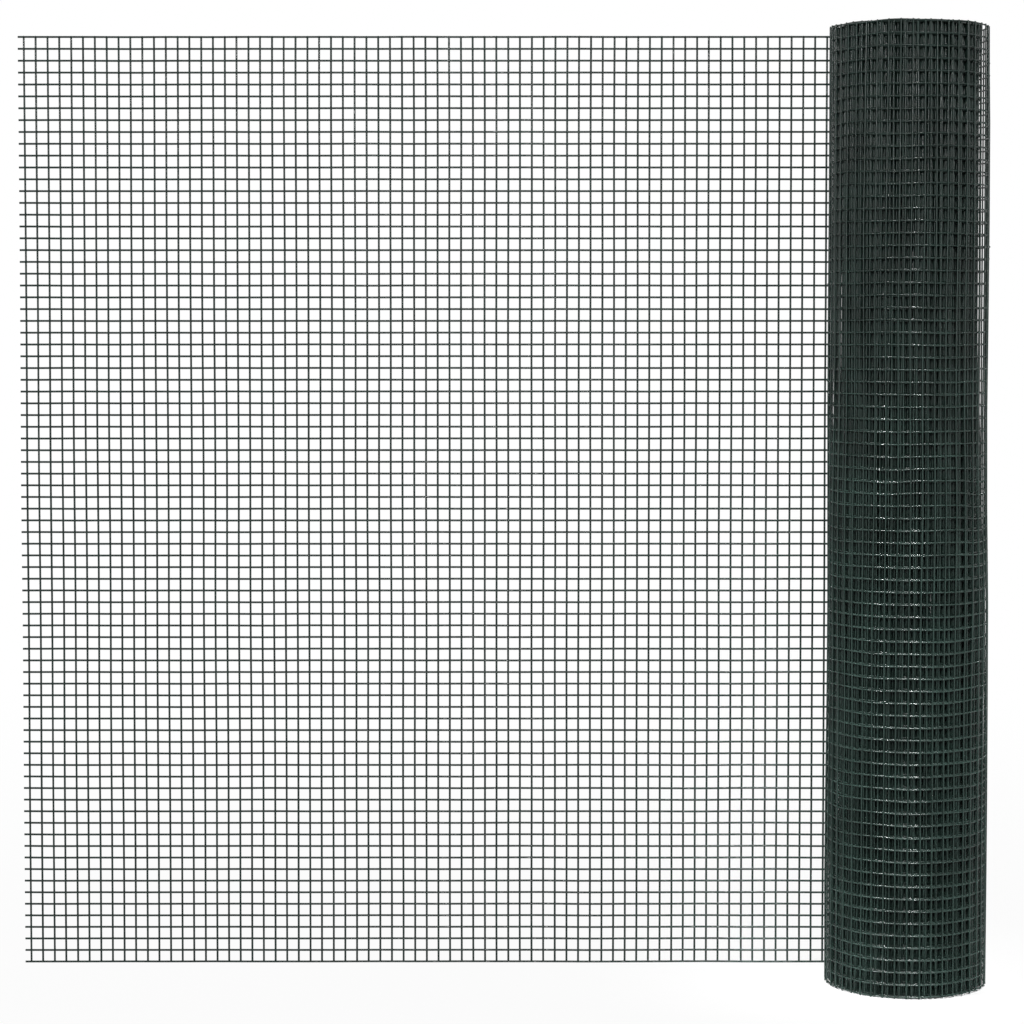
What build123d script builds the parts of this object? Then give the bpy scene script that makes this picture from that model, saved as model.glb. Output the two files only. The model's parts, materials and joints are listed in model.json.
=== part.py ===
"""A roll of welded wire fencing that stands on end, with its outer end unrolled into a flat run.

The web is one piece of square mesh: line wires run along its length, upright cross wires are welded
to their outer side, and a green plastic coat covers both. Millimetres, +Z up. The origin is the centre
of the roll's lower end, on its axis. The flat run leaves the back of the roll (+Y) and goes towards -X.
"""

import os
from functools import cache

from build123d import *

# Driving dimensions of the mesh
mesh_pitch = 12.7  # from wire to wire, both ways
wire_diameter = 2.2  # over the plastic coat
weld_sink = 1.0  # how far the two wires sink into each other at a weld
line_wire_count = 80  # line wires from the bottom edge to the top edge

# Driving dimensions of the roll
bore_diameter = 35.0
turn_count = 27
turn_pitch = 2.5  # from turn to turn: the turns nest, so it is less than the web's thickness
turn_gap = 0.8  # how wide the gaps between the turns show on the ends
turn_gap_depth = 1.7  # how deep they are

# Driving dimensions of the flat run
flat_cross_wire_count = 75
stub_length = 6.35  # cut ends of the line wires, past the last cross wire
seat_clearance = 0.2  # between the roll and the flat run, where the run leaves the roll
panel_columns = 3
panel_rows = 5

# Sizes that follow from them
bore_radius = bore_diameter / 2
roll_radius = bore_radius + turn_count * turn_pitch
wire_radius = wire_diameter / 2
half_pitch = mesh_pitch / 2
web_height = (line_wire_count - 1) * mesh_pitch + wire_diameter
line_layer_y = roll_radius + seat_clearance + wire_radius
cross_layer_y = line_layer_y + wire_diameter - weld_sink


def turn_gap_outline(radius, end_z, depth):
    """V-shaped gap between two turns, from an end face at end_z to end_z + depth."""
    mouth = turn_gap / 2
    return Polygon((radius - mouth, end_z), (radius + mouth, end_z), (radius, end_z + depth), align=None)


def mesh_roll():
    """The rolled web as one turned solid: a bore, a wall, and on both ends a gap between each two turns."""
    wall = roll_radius - bore_radius
    section = Pos(bore_radius, 0) * Rectangle(wall, web_height, align=(Align.MIN, Align.MIN))
    gaps = []
    for turn in range(1, turn_count):
        radius = bore_radius + turn * turn_pitch
        gaps.append(turn_gap_outline(radius, 0, turn_gap_depth))
        gaps.append(turn_gap_outline(radius, web_height, -turn_gap_depth))
    return revolve(Plane.XZ * (section - gaps), Axis.Z)


def line_wire(row, left_end, right_end):
    """Square bar along X, with its ends at the two given places."""
    length = right_end - left_end
    middle = (left_end + right_end) / 2
    return Pos(middle, line_layer_y, row * mesh_pitch) * Box(length, wire_diameter, wire_diameter)


def cross_wire(column, lower_end, upper_end):
    """Square bar along Z, with its ends at the two given heights."""
    length = upper_end - lower_end
    middle = (lower_end + upper_end) / 2
    return Pos(-column * mesh_pitch, cross_layer_y, middle) * Box(wire_diameter, wire_diameter, length)


@cache
def mesh_panel(columns, rows, left, right, below, above):
    """Flat mesh of so many wires each way, fused at its welds; its first two wires cross on the Y axis.

    left, right, below and above say how far the wires reach past the outermost welds.
    """
    left_end = -(columns - 1) * mesh_pitch - left
    upper_end = (rows - 1) * mesh_pitch + above
    line_wires = [line_wire(row, left_end, right) for row in range(rows)]
    cross_wires = [cross_wire(column, -below, upper_end) for column in range(columns)]
    first, *others = line_wires + cross_wires
    return first.fuse(*others)


def shared_out(count, groups):
    """The numbers 0 to count - 1 in groups of nearly the same size, in order."""
    bounds = [count * group // groups for group in range(groups + 1)]
    return [range(low, high) for low, high in zip(bounds, bounds[1:])]


def flat_run():
    """The unrolled stretch by node name, as panels that meet halfway between two wires."""
    panels = {}
    for column_number, columns in enumerate(shared_out(flat_cross_wire_count, panel_columns), 1):
        left = half_pitch if column_number < panel_columns else stub_length
        right = half_pitch if column_number > 1 else wire_radius
        for row_number, rows in enumerate(shared_out(line_wire_count, panel_rows), 1):
            below = half_pitch if row_number > 1 else wire_radius
            above = half_pitch if row_number < panel_rows else wire_radius
            panel = mesh_panel(len(columns), len(rows), left, right, below, above)
            place = Pos(-columns[0] * mesh_pitch, 0, wire_radius + rows[0] * mesh_pitch)
            panels[f"flat_mesh_column{column_number}_row{row_number}"] = place * panel
    return panels


def main():
    os.makedirs("parts", exist_ok=True)
    nodes = {"mesh_roll": mesh_roll(), **flat_run()}
    for name, shape in nodes.items():
        export_step(shape, f"parts/{name}.step", write_pcurves=False)
    print(f"roll {2 * roll_radius:.1f} across, web {web_height:.1f} high, {len(nodes)} nodes")


main()
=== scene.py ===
# %% [markdown]
# # A roll of welded wire fencing
# The object is one long web of square mesh. Thin steel wires are welded where they cross, and a dark green
# plastic coat covers them all. Most of the web is wound into a roll that stands on its end. The outer end
# is unrolled into a flat run.
#
# The factory welds the web flat and winds it afterwards, and this script does the same. It makes straight
# wires with bmesh, repeats them with Array modifiers, and then one function bends every stretch of web into
# its place. The CAD model stays underneath, as the frame that the sizes come from.

import json
import math

import bmesh
import bpy
import numpy as np
from mathutils import Matrix, Vector


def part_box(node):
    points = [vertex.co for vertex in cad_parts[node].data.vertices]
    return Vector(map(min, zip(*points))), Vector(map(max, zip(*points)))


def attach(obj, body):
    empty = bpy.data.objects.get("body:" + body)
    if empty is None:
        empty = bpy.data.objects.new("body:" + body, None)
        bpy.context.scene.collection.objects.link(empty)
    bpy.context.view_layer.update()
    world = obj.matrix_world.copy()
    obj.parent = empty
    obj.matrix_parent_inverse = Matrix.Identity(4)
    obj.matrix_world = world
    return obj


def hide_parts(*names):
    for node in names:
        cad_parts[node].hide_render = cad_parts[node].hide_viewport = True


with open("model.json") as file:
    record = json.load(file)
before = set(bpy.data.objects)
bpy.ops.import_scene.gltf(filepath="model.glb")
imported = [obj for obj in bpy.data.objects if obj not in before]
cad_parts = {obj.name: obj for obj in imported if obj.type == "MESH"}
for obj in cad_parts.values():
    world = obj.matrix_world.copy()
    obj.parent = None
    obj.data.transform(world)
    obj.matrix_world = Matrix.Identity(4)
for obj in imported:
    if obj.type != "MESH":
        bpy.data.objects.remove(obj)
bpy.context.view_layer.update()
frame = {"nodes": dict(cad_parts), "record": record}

# %% [markdown]
# ## Sizes
# Blender works in metres here. The roll's outside, its bore and the height of the web are read from the
# frame, so that they can't drift away from the CAD model. Only the mesh has sizes of its own: the pitch from
# wire to wire, the wire with its coat, and the number of turns.
#
# There are two wire gauges. The flat run has the gauge of the CAD model's bars. The roll's wires are drawn a
# little thinner, because its turns nest closely and thick wires would close the gaps that show its depth.

# %% Sizes of the web and the roll
mm = 0.001
mesh_pitch = 12.7 * mm
flat_wire_radius = 1.1 * mm
rolled_wire_radius = 0.85 * mm
turn_count = 27

mounts = {mount["name"]: mount for mount in frame["record"]["mounts"]}
bore_radius = mounts["bore"]["dims"]["r_mm"] * mm
web_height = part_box("mesh_roll")[1].z
line_wire_count = round((web_height - 2 * flat_wire_radius) / mesh_pitch) + 1

flat_nodes = [name for name in frame["nodes"] if name.startswith("flat_mesh")]
flat_faces = [corner.y for name in flat_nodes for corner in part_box(name)]
mesh_thickness = max(flat_faces) - min(flat_faces)
layer_offset = mesh_thickness / 2 - flat_wire_radius  # from the middle of the web to the middle of a wire
inner_radius = bore_radius + mesh_thickness / 2
outer_radius = (max(flat_faces) + min(flat_faces)) / 2
print(f"{line_wire_count} line wires, web wound from {inner_radius / mm:.2f} to {outer_radius / mm:.2f} mm")

# %% [markdown]
# ## The spiral
# A roll is a spiral: each turn lies outside the last one. The web leaves it at the back, where the flat run
# starts. A Screw modifier can draw a spiral, but it can't say where a weld of the web ends up. So the spiral
# is worked out once, as a table of the angle against the length of web that is wound up, and any point of
# the flat web can be looked up and put in its place.

# %% The spiral as a table
full_turn = 2 * math.pi
leaving_angle = math.pi / 2
table_steps = turn_count * 360

wound_angles = np.linspace(0, turn_count * full_turn, table_steps + 1)
spiral_radii = np.linspace(inner_radius, outer_radius, table_steps + 1)
step_lengths = (spiral_radii[1:] + spiral_radii[:-1]) / 2 * np.diff(wound_angles)
wound_lengths = np.concatenate([[0], np.cumsum(step_lengths)])
roll_length = wound_lengths[-1]


def length_at_turn(turn):
    """How much web is wound up when so many turns are complete."""
    return float(np.interp(turn * full_turn, wound_angles, wound_lengths))


print(f"{turn_count} turns hold {roll_length:.2f} m of web")

# %% [markdown]
# ## What keeps it from looking drawn with a ruler
# No wire of a real roll is perfectly straight. A Displace modifier could push the points about by a texture,
# but only in one direction. A sum of a few sine waves, each with its own seeded direction and phase, gives a
# gentle unevenness for any direction. It depends only on the place on the web, so both wires of a weld move
# together and no weld comes apart.

# %% Gentle unevenness
wave_count = 6
wave_stretch = (0.6, 1.6)  # the shortest and the longest wave, as shares of the given wavelength


def unevenness(along, up, seed, size, wave_along, wave_up):
    """Smooth values of about -size to size for places on the web, the same at each run."""
    draw = np.random.default_rng(seed)
    total = np.zeros_like(along)
    for _ in range(wave_count):
        stretch_along, stretch_up = draw.uniform(*wave_stretch, 2)
        slant = draw.choice([-1, 1])
        phase = draw.uniform(0, full_turn)
        waves = along / (wave_along * stretch_along) + slant * up / (wave_up * stretch_up)
        total += np.sin(full_turn * waves + phase)
    return size * total / math.sqrt(wave_count)


def rise(low, high, value):
    """0 up to low, 1 from high on, and a smooth rise between them."""
    share = np.clip((value - low) / (high - low), 0, 1)
    return share * share * (3 - 2 * share)


# %% [markdown]
# ## Slack and dents
# Welded mesh is springy. The core of the roll is tight, but the last few turns stand off from it, most of all
# on the right of the upper half, where daylight shows between them. Handling also leaves dents in the outer
# turns. Both could be sculpted by hand, but as formulas they can be read and changed. A dent is a smooth bump
# with a place, a size, and a push inwards and downwards.

# %% Slack and dents
slack_all_round = 1.0 * mm
slack_right = 3.0 * mm
slack_upper_right = 9.0 * mm
slack_left = 5.0 * mm
slack_turns = 0.8  # how many turns the slack is spread over
upper_half = (0.42, 0.6)  # heights between which the lower half turns into the upper

# angle in degrees (0 is the right, -90 the front), height, radius, push inwards, push downwards
dents = [
    (-110, 0.539, 0.022, 2.5 * mm, 2.2 * mm),
    (-92, 0.528, 0.020, -1.0 * mm, -1.8 * mm),
    (-30, 0.520, 0.035, 1.0 * mm, 2.5 * mm),
    (-12, 0.995, 0.012, 3.5 * mm, 2.0 * mm),
    (170, 0.735, 0.012, -2.0 * mm, 0),
    (170, 0.634, 0.012, -2.0 * mm, 0),
    (-10, 0.774, 0.012, -1.5 * mm, 0),
]
dent_turns = 1.5  # how many turns deep a dent dies away


def slack_at(theta, up):
    """How far the outer turns stand off the core."""
    right = np.clip(np.cos(theta), 0, 1) ** 2
    left = np.clip(-np.cos(theta), 0, 1) ** 2
    upper = rise(*upper_half, up)
    return slack_all_round + right * (slack_right + upper * slack_upper_right) + left * slack_left


def dents_at(theta, up, turns_deep):
    """How far the dents push inwards and downwards."""
    inwards, downwards = np.zeros_like(up), np.zeros_like(up)
    for degrees, height, size, push_in, push_down in dents:
        turned = np.angle(np.exp(1j * (theta - math.radians(degrees))))
        distance = np.hypot(turned * outer_radius, up - height) / size
        share = np.exp(-(distance**2) - turns_deep / dent_turns)
        inwards += push_in * share
        downwards += push_down * share
    return inwards, downwards


most_slack = slack_at(np.array(0.0), np.array(web_height))
print(f"{len(dents)} dents, slack of up to {most_slack / mm:.0f} mm")

# %% [markdown]
# ## Winding
# The web is modelled flat: X runs along it, Y through it and Z up. A Curve modifier could bend it along a
# spiral, but it knows nothing of slack and dents. `wind` takes such a mesh and moves all its points at once
# with numpy, which is far quicker than a loop over vertices. Points past the wound length belong to the flat
# run and only change direction. Winding mirrors the web, so its faces end up inside out, and they are flipped
# at the end.

# %% Wind a flat web
lift_size = 0.5 * mm  # how far single wires ride up
end_lift_size = 0.6 * mm  # how far whole stretches of a turn ride up
no_change_up = 50.0  # a wave so long that it is the same all the way up

# seed, size, then the wavelengths along and up the web
pitch_drift = (1, 0.5 * mm, 0.031, 0.9)
lean_drift = (2, 0.9 * mm, 0.4, 0.35)
turn_slip = (7, 3.0 * mm, 0.7, no_change_up)
lift = (3, lift_size, 0.12, 0.3)
end_lift = (6, end_lift_size, 0.6, no_change_up)
ripple = (4, 0.5 * mm, 0.18, 0.5)

flat_share = 0.15  # of the drift and lift that is left where the web lies flat
loosening_turns = 0.4  # how deep in the roll the drift and lift are at their full size
slipping_turns = 1.0  # how deep in the roll the turns slip past each other
settling_length = 0.1  # of web on both sides of the place where it leaves the roll


def wind(mesh):
    """Moves the points of a flat web to their places on the roll or on the flat run."""
    points = np.empty(len(mesh.vertices) * 3)
    mesh.vertices.foreach_get("co", points)
    along, through, up = points.reshape(-1, 3).T
    is_flat = along > roll_length
    theta = np.interp(along, wound_lengths, wound_angles) + leaving_angle
    turns_deep = turn_count - (theta - leaving_angle) / full_turn

    loose = flat_share + (1 - flat_share) * rise(0, loosening_turns, turns_deep)
    drift = unevenness(along, up, *pitch_drift) + unevenness(along, up, *lean_drift)
    slip = unevenness(along, up, *turn_slip) * rise(0, slipping_turns, turns_deep)
    sideways = loose * drift + slip
    upwards = lift_size + unevenness(along, up, *lift) + end_lift_size + unevenness(along, up, *end_lift)
    outwards = unevenness(along, up, *ripple) * rise(0, settling_length, abs(along - roll_length))
    theta = theta + sideways / outer_radius
    up = up + loose * np.clip(upwards, 0, None)

    slack = slack_at(theta, up)
    turn_step = (outer_radius - inner_radius - slack) / turn_count
    inwards, downwards = dents_at(theta, up, turns_deep)
    stand_off = slack * (1 - np.exp(-turns_deep / slack_turns))
    radius = outer_radius + through + outwards - inwards - turns_deep * turn_step - stand_off

    x = np.where(is_flat, roll_length - along - sideways, radius * np.cos(theta))
    y = np.where(is_flat, outer_radius + through + outwards, radius * np.sin(theta))
    z = np.clip(up - downwards, 0, None)
    mesh.vertices.foreach_set("co", np.stack([x, y, z], axis=1).ravel())
    mesh.flip_normals()


# %% [markdown]
# ## The coat
# The coat is soft green plastic with a satin gloss. Its colour isn't quite even: it is darker in some places.
# Whatever faces up is mixed towards a pale grey green, partly as settled dust and partly as painted top
# light, which is why the line wires look paler seen from above. The gloss changes in upright streaks, because
# the coat came out smoother on some wires than on others. One image painted for the whole web could show all
# this too, but it would have to be huge. Noise nodes need no image, and they read Object coordinates, so the
# pattern stays on the wires.
#
# The cut ends of the wires show bare zinc-coated steel.

# %% Coat and bare steel
def green_coat():
    material = bpy.data.materials.new("green_plastic_coat")
    material.use_nodes = True
    nodes, links = material.node_tree.nodes, material.node_tree.links
    shader = nodes["Principled BSDF"]
    shader.inputs["Specular IOR Level"].default_value = 0.25
    place = nodes.new("ShaderNodeTexCoord")

    patches = nodes.new("ShaderNodeTexNoise")
    patches.inputs["Scale"].default_value = 26
    patches.inputs["Detail"].default_value = 3
    links.new(place.outputs["Object"], patches.inputs["Vector"])
    greens = nodes.new("ShaderNodeValToRGB")
    greens.color_ramp.elements[0].position = 0.35
    greens.color_ramp.elements[0].color = (0.016, 0.031, 0.026, 1)
    greens.color_ramp.elements[1].position = 0.68
    greens.color_ramp.elements[1].color = (0.025, 0.050, 0.042, 1)
    links.new(patches.outputs["Fac"], greens.inputs["Fac"])

    # whatever faces up is mixed towards a pale grey green: partly settled dust, partly painted top light
    facing = nodes.new("ShaderNodeNewGeometry")
    upwards = nodes.new("ShaderNodeSeparateXYZ")
    links.new(facing.outputs["Normal"], upwards.inputs["Vector"])
    dust_and_top_light = nodes.new("ShaderNodeMapRange")
    dust_and_top_light.inputs["From Min"].default_value = 0.1
    dust_and_top_light.inputs["From Max"].default_value = 1.0
    dust_and_top_light.inputs["To Max"].default_value = 0.1
    links.new(upwards.outputs["Z"], dust_and_top_light.inputs["Value"])
    dusted_and_top_lit = nodes.new("ShaderNodeMix")
    dusted_and_top_lit.data_type = "RGBA"
    dusted_and_top_lit.inputs["B"].default_value = (0.09, 0.107, 0.1, 1)
    links.new(dust_and_top_light.outputs["Result"], dusted_and_top_lit.inputs["Factor"])
    links.new(greens.outputs["Color"], dusted_and_top_lit.inputs["A"])
    links.new(dusted_and_top_lit.outputs["Result"], shader.inputs["Base Color"])

    upright = nodes.new("ShaderNodeMapping")
    upright.inputs["Scale"].default_value = (1, 1, 0.08)
    links.new(place.outputs["Object"], upright.inputs["Vector"])
    streaks = nodes.new("ShaderNodeTexNoise")
    streaks.inputs["Scale"].default_value = 130
    links.new(upright.outputs["Vector"], streaks.inputs["Vector"])
    gloss = nodes.new("ShaderNodeMapRange")
    gloss.inputs["From Min"].default_value = 0.35
    gloss.inputs["From Max"].default_value = 0.65
    gloss.inputs["To Min"].default_value = 0.16
    gloss.inputs["To Max"].default_value = 0.4
    links.new(streaks.outputs["Fac"], gloss.inputs["Value"])
    links.new(gloss.outputs["Result"], shader.inputs["Roughness"])
    grain = nodes.new("ShaderNodeTexNoise")
    grain.inputs["Scale"].default_value = 420
    grain.inputs["Detail"].default_value = 4
    links.new(place.outputs["Object"], grain.inputs["Vector"])
    relief = nodes.new("ShaderNodeBump")
    relief.inputs["Strength"].default_value = 0.35
    relief.inputs["Distance"].default_value = 0.1 * mm
    links.new(grain.outputs["Fac"], relief.inputs["Height"])
    links.new(relief.outputs["Normal"], shader.inputs["Normal"])
    return material


def bare_steel():
    material = bpy.data.materials.new("bare_steel_end")
    material.use_nodes = True
    nodes, links = material.node_tree.nodes, material.node_tree.links
    shader = nodes["Principled BSDF"]
    shader.inputs["Metallic"].default_value = 1
    shader.inputs["Roughness"].default_value = 0.4
    place = nodes.new("ShaderNodeTexCoord")
    tarnish = nodes.new("ShaderNodeTexNoise")
    tarnish.inputs["Scale"].default_value = 300
    greys = nodes.new("ShaderNodeValToRGB")
    greys.color_ramp.elements[0].color = (0.22, 0.22, 0.21, 1)
    greys.color_ramp.elements[1].color = (0.5, 0.51, 0.52, 1)
    links.new(place.outputs["Object"], tarnish.inputs["Vector"])
    links.new(tarnish.outputs["Fac"], greys.inputs["Fac"])
    links.new(greys.outputs["Color"], shader.inputs["Base Color"])
    return material


coat, steel = green_coat(), bare_steel()
print("materials:", coat.name, steel.name)

# %% [markdown]
# ## Straight wires
# On the real web a wire is round, and cut square at its ends. A curve with a round bevel would give such a
# wire, but a mesh has exactly as many sides as it is given, which counts when there are thousands of wires.
# So a wire is a thin capped cylinder, cut into short lengths so that it can bend. Its sides are shaded smooth
# and its two caps stay flat and take the second material slot. The edges round the caps are marked sharp.
# Otherwise the caps would pull at the shading of the sides, over the whole of the last length.

# %% One straight wire
coat_slot, steel_slot = 0, 1


def straight_wire(radius, length, lengths, sides):
    """An upright wire in a new bmesh, cut into so many equal lengths."""
    bm = bmesh.new()
    bmesh.ops.create_cone(
        bm, cap_ends=True, segments=sides, radius1=radius, radius2=radius, depth=length
    )
    for face in bm.faces:
        is_cap = abs(face.normal.z) > 0.5
        face.material_index = steel_slot if is_cap else coat_slot
        face.smooth = not is_cap
        for edge in face.edges:
            edge.smooth = edge.smooth and not is_cap
    long_edges = [edge for edge in bm.edges if edge.calc_length() > length / 2]
    bmesh.ops.subdivide_edges(bm, edges=long_edges, cuts=lengths - 1)
    # a quarter turn makes a wire of six sides show a flat side, and not a corner, to the outside of the web
    bmesh.ops.rotate(bm, verts=bm.verts, matrix=Matrix.Rotation(math.pi / 2, 3, "Z"))
    bmesh.ops.translate(bm, verts=bm.verts, vec=(0, 0, length / 2))
    return bm


# %% [markdown]
# ## Rows of wires
# The wires of the web lie in even rows, and a bead of coat covers each weld. A loop could copy them one by
# one, but an Array modifier repeats a shape at a fixed step by itself. Reading the evaluated object back as a
# mesh applies the modifier without any operator that needs a selection.

# %% Rows of wires
def repeated(bm, *rows):
    """The mesh of a bmesh, repeated by an Array modifier for each (count, step)."""
    mesh = bpy.data.meshes.new("pattern")
    bm.to_mesh(mesh)
    bm.free()
    pattern = bpy.data.objects.new("pattern", mesh)
    bpy.context.scene.collection.objects.link(pattern)
    for count, step in rows:
        array = pattern.modifiers.new("row", "ARRAY")
        array.count = count
        array.use_relative_offset = False
        array.use_constant_offset = True
        array.constant_offset_displace = step
    result = bpy.data.meshes.new_from_object(pattern.evaluated_get(bpy.context.evaluated_depsgraph_get()))
    bpy.data.objects.remove(pattern)
    return result


def cross_wires(radius, first_along, count, lengths, sides=6):
    """Upright wires on the outer side of the web, one pitch apart."""
    bm = straight_wire(radius, web_height, lengths, sides)
    bmesh.ops.translate(bm, verts=bm.verts, vec=(first_along, layer_offset, 0))
    return repeated(bm, (count, (mesh_pitch, 0, 0)))


def line_wires(radius, start, end, first_row, row_count, lengths_per_pitch=1, sides=4):
    """Wires along the inner side of the web, one pitch apart, from start to end."""
    lengths = max(1, round((end - start) / mesh_pitch * lengths_per_pitch))
    bm = straight_wire(radius, end - start, lengths, sides)
    bmesh.ops.rotate(bm, verts=bm.verts, matrix=Matrix.Rotation(math.pi / 2, 3, "Y"))
    height = flat_wire_radius + first_row * mesh_pitch
    bmesh.ops.translate(bm, verts=bm.verts, vec=(start, -layer_offset, height))
    return repeated(bm, (row_count, (0, 0, mesh_pitch)))


def weld_beads(radius, first_along, count):
    """A bead of coat over each weld."""
    bm = bmesh.new()
    bmesh.ops.create_icosphere(bm, subdivisions=1, radius=radius)
    for face in bm.faces:
        face.smooth = True
    bmesh.ops.translate(bm, verts=bm.verts, vec=(first_along, 0, flat_wire_radius))
    return repeated(bm, (count, (mesh_pitch, 0, 0)), (line_wire_count, (0, 0, mesh_pitch)))


# %% [markdown]
# ## Stretches of web
# The web is made in a few stretches, because thousands of separate wires would be slow to handle, and one
# huge mesh would be hard to change. Each stretch is joined from its wires, wound, and told which body it
# rides on.

# %% Make a stretch of web
triangle_counts = {}


def stretch(name, *meshes):
    """One piece of the object: the given meshes joined, wound and coated."""
    bm = bmesh.new()
    for mesh in meshes:
        bm.from_mesh(mesh)
        bpy.data.meshes.remove(mesh)
    joined = bpy.data.meshes.new(name)
    bm.to_mesh(joined)
    bm.free()
    wind(joined)
    joined.materials.append(coat)
    joined.materials.append(steel)
    piece = bpy.data.objects.new(name, joined)
    bpy.context.scene.collection.objects.link(piece)
    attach(piece, "root")
    joined.calc_loop_triangles()
    triangle_counts[name] = len(joined.loop_triangles)
    print(f"{name}: {triangle_counts[name]} triangles")
    return piece


# %% [markdown]
# ## The roll
# All turns have all their cross wires. The line wires are another matter: there are so many that only those
# that can be seen are made. The outer turns, as deep as the eye can reach, and the turns along the bore have
# every row. The turns between them, which no one can look into, have the rows near both ends. The nearest
# turns also have rounder wires and more bends, because they are seen best.

# %% The roll
turn_ranges = {"inner": (0, 3), "middle": (3, 16), "deeper": (16, 24), "outer": (24, turn_count)}
spans = {name: (length_at_turn(low), length_at_turn(high)) for name, (low, high) in turn_ranges.items()}
roll_end = roll_length - flat_wire_radius
spans["outer"] = (spans["outer"][0], roll_end)
half_rows = line_wire_count // 2
end_rows = 4
rolled_cross_lengths = 10
rolled_bead_radius = 1.25 * mm


def rolled_line_wires(span, first_row, row_count, **fineness):
    """Line wires along one of the spans of turns."""
    return line_wires(rolled_wire_radius, *spans[span], first_row, row_count, **fineness)


fine = dict(lengths_per_pitch=2, sides=6)
outer_lower = stretch("outer_turns_lower", rolled_line_wires("outer", 0, half_rows, **fine))
outer_upper = stretch("outer_turns_upper", rolled_line_wires("outer", half_rows, half_rows, **fine))
stretch("deeper_turns", rolled_line_wires("deeper", 0, line_wire_count))
stretch(
    "inner_turns",
    rolled_line_wires("inner", 0, line_wire_count, lengths_per_pitch=2),
    rolled_line_wires("middle", 0, end_rows),
    rolled_line_wires("middle", line_wire_count - end_rows, end_rows),
)
cross_count = int(roll_length / mesh_pitch)
first_cross = roll_length - cross_count * mesh_pitch
rolled_cross_wires = cross_wires(rolled_wire_radius, first_cross, cross_count, rolled_cross_lengths)
stretch("roll_cross_wires", rolled_cross_wires)
beaded_count = int((roll_end - length_at_turn(turn_count - 1)) / mesh_pitch)
first_bead = roll_length - beaded_count * mesh_pitch
stretch("outer_weld_beads", weld_beads(rolled_bead_radius, first_bead, beaded_count))
for piece in (outer_lower, outer_upper):
    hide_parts("mesh_roll")

# %% [markdown]
# ## The flat run
# The unrolled end runs straight off the back of the roll. It is made in the same three columns as the CAD
# panels, each from its own box in the frame, so that a column of wires stands exactly where its panels do.

# %% The flat run
flat_bead_radius = 1.5 * mm

for column in (1, 2, 3):
    panels = [name for name in flat_nodes if name.startswith(f"flat_mesh_column{column}_")]
    start = roll_length - max(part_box(name)[1].x for name in panels)
    end = roll_length - min(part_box(name)[0].x for name in panels)
    count = round((end - start) / mesh_pitch)
    first = roll_length + (column - 1) * count * mesh_pitch
    piece = stretch(
        f"flat_run_{column}",
        line_wires(flat_wire_radius, start, end, 0, line_wire_count, sides=6),
        cross_wires(flat_wire_radius, first, count, line_wire_count - 1),
        weld_beads(flat_bead_radius, first, count),
    )
    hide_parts(*panels)
print("triangles in all:", sum(triangle_counts.values()))

# %% [markdown]
# ## Floor
# The floor is pale. Close to the roll it shows the light and the shadow that fall on it, and its glow is
# weaker there, so that the grey ring round the foot of the roll is partly real shadow and partly painted
# contact shadow. Further out it fades to plain white, so that no horizon shows. The white is a glow that only
# the camera and reflections can see. It lights nothing.

# %% Floor
floor_size = 40.0
# near the roll the glow is weaker, and the grey ring this leaves is partly a painted contact shadow
floor_glow_and_contact_shade = [(0.0825, 0.0), (0.093, 0.75), (0.15, 0.95), (3.0, 1.0)]  # distance from the roll's axis, glow
fade_end = floor_glow_and_contact_shade[-1][0]


def shown_rays(nodes, links):
    """1 for rays that show the backdrop: straight from the camera, or by way of gloss or glass."""
    rays = nodes.new("ShaderNodeLightPath")
    straight = nodes.new("ShaderNodeMath")
    straight.operation = "MAXIMUM"
    links.new(rays.outputs["Is Camera Ray"], straight.inputs[0])
    links.new(rays.outputs["Is Glossy Ray"], straight.inputs[1])
    shown = nodes.new("ShaderNodeMath")
    shown.operation = "MAXIMUM"
    links.new(straight.outputs[0], shown.inputs[0])
    links.new(rays.outputs["Is Transmission Ray"], shown.inputs[1])
    return shown.outputs[0]


def pale_floor():
    material = bpy.data.materials.new("pale_floor")
    material.use_nodes = True
    nodes, links = material.node_tree.nodes, material.node_tree.links
    paint = nodes["Principled BSDF"]
    paint.inputs["Base Color"].default_value = (0.86, 0.86, 0.86, 1)
    paint.inputs["Roughness"].default_value = 0.9
    place = nodes.new("ShaderNodeTexCoord")
    distance = nodes.new("ShaderNodeVectorMath")
    distance.operation = "LENGTH"
    links.new(place.outputs["Object"], distance.inputs[0])
    # the ramp: weaker glow next to the roll, which paints a contact shadow, and plain white further out
    glow_and_contact_shade_ramp = nodes.new("ShaderNodeValToRGB")
    glow_and_contact_shade_ramp.color_ramp.interpolation = "EASE"
    stops = [(reach / fade_end, (glow, glow, glow, 1)) for reach, glow in floor_glow_and_contact_shade]
    for element, (position, color) in zip(glow_and_contact_shade_ramp.color_ramp.elements, stops[:2]):
        element.position, element.color = position, color
    for position, color in stops[2:]:
        glow_and_contact_shade_ramp.color_ramp.elements.new(position).color = color
    distance_share = nodes.new("ShaderNodeMath")
    distance_share.operation = "DIVIDE"
    distance_share.inputs[1].default_value = fade_end
    links.new(distance.outputs["Value"], distance_share.inputs[0])
    links.new(distance_share.outputs[0], glow_and_contact_shade_ramp.inputs["Fac"])
    shown_glow = nodes.new("ShaderNodeMath")
    shown_glow.operation = "MULTIPLY"
    links.new(glow_and_contact_shade_ramp.outputs["Color"], shown_glow.inputs[0])
    links.new(shown_rays(nodes, links), shown_glow.inputs[1])
    white = nodes.new("ShaderNodeEmission")
    mix = nodes.new("ShaderNodeMixShader")
    links.new(shown_glow.outputs[0], mix.inputs["Fac"])
    links.new(paint.outputs[0], mix.inputs[1])
    links.new(white.outputs[0], mix.inputs[2])
    links.new(mix.outputs[0], nodes["Material Output"].inputs["Surface"])
    return material


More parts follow.
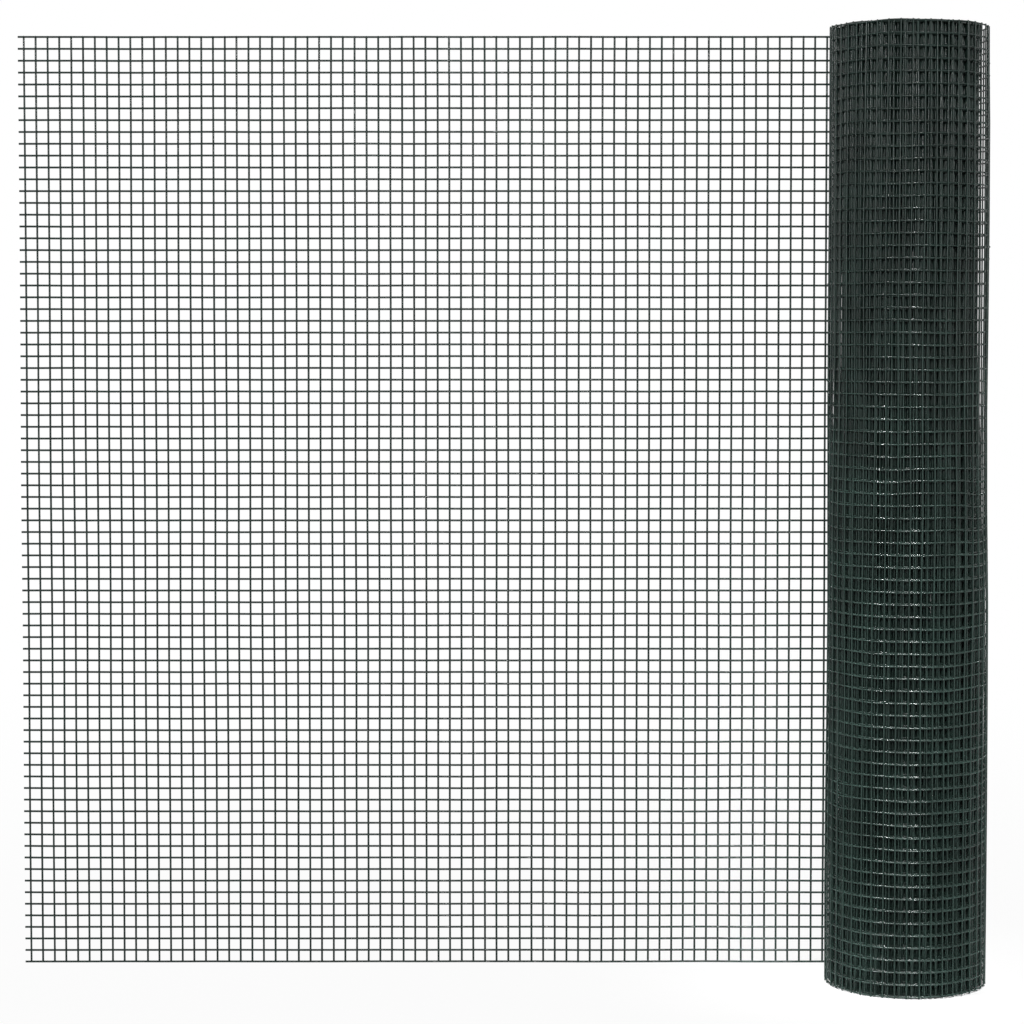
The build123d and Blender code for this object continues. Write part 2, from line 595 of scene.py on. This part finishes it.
bm = bmesh.new()
bmesh.ops.create_grid(bm, x_segments=1, y_segments=1, size=floor_size)
floor_mesh = bpy.data.meshes.new("floor")
bm.to_mesh(floor_mesh)
bm.free()
floor_mesh.materials.append(pale_floor())
floor = bpy.data.objects.new("floor", floor_mesh)
bpy.context.scene.collection.objects.link(floor)
print(f"floor: white from {fade_end} m on")

# %% [markdown]
# ## Light
# The world is white for the camera and for reflections, and gives only a little light. The lamps do the rest.
# A lamp's level is how bright a white sheet facing it would be, and its power follows from that level and its
# distance.

# %% World and helpers for lamps
ambient_level = 0.05
scene = bpy.context.scene
scene.world = bpy.data.worlds.new("studio")
scene.world.use_nodes = True
nodes, links = scene.world.node_tree.nodes, scene.world.node_tree.links
brightness = nodes.new("ShaderNodeMapRange")
brightness.inputs["To Min"].default_value = ambient_level
links.new(shown_rays(nodes, links), brightness.inputs["Value"])
nodes["Background"].inputs["Color"].default_value = (1, 1, 1, 1)
links.new(brightness.outputs["Result"], nodes["Background"].inputs["Strength"])


def hang(name, lamp, bearing, elevation, distance, aim_height):
    """Hangs a lamp at that bearing and elevation, in degrees, from a point on the roll's axis."""
    turned, raised = math.radians(bearing), math.radians(elevation)
    heading = Vector((math.sin(turned), -math.cos(turned), 0))
    way = math.cos(raised) * heading + Vector((0, 0, math.sin(raised)))
    holder = bpy.data.objects.new(name, lamp)
    holder.location = Vector((0, 0, aim_height)) + distance * way
    holder.rotation_euler = way.to_track_quat("Z", "Y").to_euler()
    scene.collection.objects.link(holder)
    print(f"{name}: {lamp.energy:.0f} W")
    return holder


def softbox(name, size, level, **place):
    """A round softbox that would show a white sheet facing it at that level."""
    lamp = bpy.data.lights.new(name, "AREA")
    lamp.shape = "DISK"
    lamp.size = size
    lamp.energy = level * math.pi**2 * place["distance"] ** 2
    return hang(name, lamp, **place)


def spotlight(name, size, beam, level, **place):
    """A soft-edged spotlight of that level in the middle of its beam, which is so many degrees wide."""
    lamp = bpy.data.lights.new(name, "SPOT")
    lamp.shadow_soft_size = size / 2
    lamp.spot_size = math.radians(beam)
    lamp.spot_blend = 1
    lamp.energy = level * 4 * math.pi**2 * place["distance"] ** 2
    return hang(name, lamp, **place)


# %% [markdown]
# Two softboxes stand close to the camera's own line of sight. Light from there reaches in between the wires
# wherever the camera can look, so the roll doesn't turn black inside. The upper one also runs down the cross
# wires near the top as a streak. A third softbox behind the object lights it for the views from the back.
#
# Two spotlights shine steeply down from the left and the right, most of all on the lower half. The line wires
# catch them as two columns of glints. A glint is mostly gloss, so each spotlight has a companion that only
# gives gloss.

# %% Lamps
front = dict(bearing=-8, distance=3.5)
softbox("upper_softbox", size=0.3, level=0.42, elevation=7, aim_height=0.85, **front)
softbox("front_softbox", size=0.3, level=0.05, elevation=3.5, aim_height=0.5, **front)
behind = dict(bearing=172, elevation=20, distance=3.5, aim_height=0.5)
back_softbox = softbox("back_softbox", size=1.0, level=0.5, **behind)
back_softbox.visible_glossy = False

for side, bearing in (("left", -69), ("right", 18)):
    above = dict(bearing=bearing, elevation=68, distance=2.5, aim_height=0.0)
    spotlight(f"{side}_spotlight", size=0.2, beam=13, level=1.0, **above)
    glint = spotlight(f"{side}_glint", size=0.5, beam=10, level=6, **above)
    glint.visible_diffuse = False

# %% [markdown]
# ## Camera
# The camera stands higher than the middle of the roll and looks slightly down, so the lower end of the roll
# shows a deeper curve than the upper end. More tilt would make the upright wires of the flat run lean towards
# each other, so a small shift of the frame does the rest.

# %% Camera
eye = (-0.415, -3.0, 0.7)
tilt_down = 2.81  # degrees

camera_data = bpy.data.cameras.new("camera")
camera_data.sensor_width = 36
camera_data.lens = 100.35
camera_data.shift_y = -0.05
camera = bpy.data.objects.new("camera", camera_data)
camera.location = eye
camera.rotation_euler = (math.radians(90 - tilt_down), 0, 0)
scene.collection.objects.link(camera)
scene.camera = camera
scene.view_settings.view_transform = "Standard"
print(f"camera at {eye}, looking down by {tilt_down} degrees")
